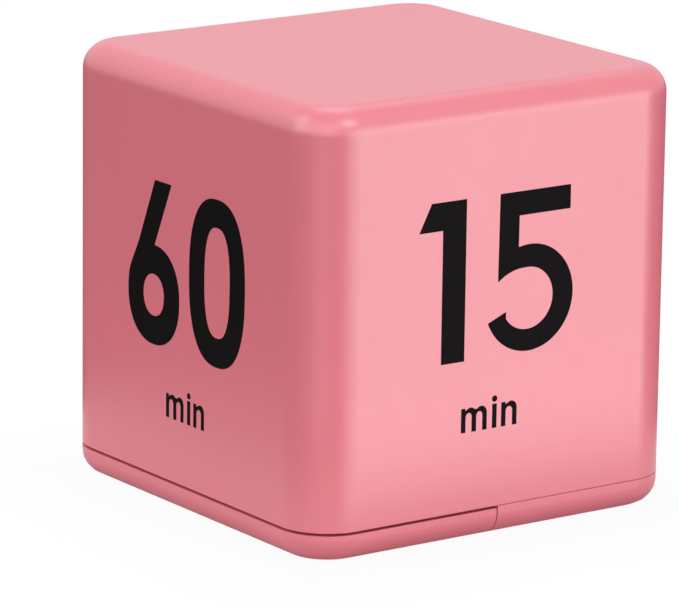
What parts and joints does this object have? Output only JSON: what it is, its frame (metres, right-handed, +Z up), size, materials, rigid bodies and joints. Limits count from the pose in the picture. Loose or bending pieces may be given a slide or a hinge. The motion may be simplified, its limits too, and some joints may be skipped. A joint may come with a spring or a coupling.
{
  "type": "cube timer",
  "caption": "Cube-shaped countdown timer with rounded edges, minutes printed on its sides, and a display, a volume switch and a sliding battery door underneath.",
  "frame": {"origin": "middle of the underside, on the surface that the cube stands on", "axes": "+Z up to the blank face, -Y out of the 15 minute face, -X out of the 60 minute face"},
  "size_m": [0.066, 0.066, 0.066],
  "materials": {
    "pink_plastic": "satin moulded plastic",
    "black_plastic": "matte moulded plastic",
    "clear_plastic": "clear acrylic",
    "display_glass": "grey-green display glass",
    "foil": "satin reflector film",
    "contact_rubber": "conductive silicone",
    "board_green": "solder mask on fibreglass",
    "chip_part": "moulded component",
    "nickel": "nickel plate",
    "brass": "plain brass",
    "steel": "zinc plate",
    "copper": "varnished copper wire",
    "cell_label": "printed foil label",
    "red_sleeve": "wire insulation",
    "black_sleeve": "wire insulation"
  },
  "bodies": {
    "cube": {"shell": "pink_plastic", "base_chassis": "pink_plastic", "cell_1": "cell_label", "cell_2": "cell_label", "bridge_plate": "nickel", "bridge_spring": "nickel", "positive_contact": "nickel", "negative_contact": "nickel", "negative_spring": "nickel", "red_lead": "red_sleeve", "black_lead": "black_sleeve", "main_board": "board_green", "chip_blob": "black_plastic", "crystal": "nickel", "capacitor_1": "black_plastic", "capacitor_2": "black_plastic", "coil": "copper", "transistor": "chip_part", "resistor_1": "chip_part", "resistor_2": "chip_part", "display_window": "clear_plastic", "lcd_front_glass": "display_glass", "lcd_rear_glass": "display_glass", "lcd_reflector": "foil", "contact_strip": "contact_rubber", "buzzer_case": "black_plastic", "buzzer_disc": "brass", "switch_case": "nickel", "tilt_can_1": "nickel", "tilt_plug_1": "black_plastic", "case_screw_1": "steel", "tilt_can_2": "nickel", "tilt_plug_2": "black_plastic", "case_screw_2": "steel", "tilt_can_3": "nickel", "tilt_plug_3": "black_plastic", "case_screw_3": "steel", "tilt_can_4": "nickel", "tilt_plug_4": "black_plastic", "case_screw_4": "steel", "board_screw_1": "steel", "board_screw_2": "steel", "board_screw_3": "steel"},
    "door": {"battery_door": "pink_plastic"},
    "volume": {"volume_knob": "black_plastic", "switch_lever": "black_plastic"},
    "ball_1": {"tilt_ball_1": "steel"},
    "ball_2": {"tilt_ball_2": "steel"},
    "ball_3": {"tilt_ball_3": "steel"},
    "ball_4": {"tilt_ball_4": "steel"}
  },
  "joints": [
    {"name": "door_slide", "type": "slide", "parent": "cube", "child": "door", "axis": [-1, 0, 0], "range_m": [0, 0.024]},
    {"name": "volume_slide", "type": "slide", "parent": "cube", "child": "volume", "axis": [1, 0, 0], "range_m": [0, 0.004]},
    {"name": "ball_1_roll", "type": "slide", "parent": "cube", "child": "ball_1", "axis": [1, 0, 0], "range_m": [0, 0.0022]},
    {"name": "ball_2_roll", "type": "slide", "parent": "cube", "child": "ball_2", "axis": [0, 1, 0], "range_m": [0, 0.0022]},
    {"name": "ball_3_roll", "type": "slide", "parent": "cube", "child": "ball_3", "axis": [-1, 0, 0], "range_m": [0, 0.0022]},
    {"name": "ball_4_roll", "type": "slide", "parent": "cube", "child": "ball_4", "axis": [0, -1, 0], "range_m": [0, 0.0022]}
  ]
}
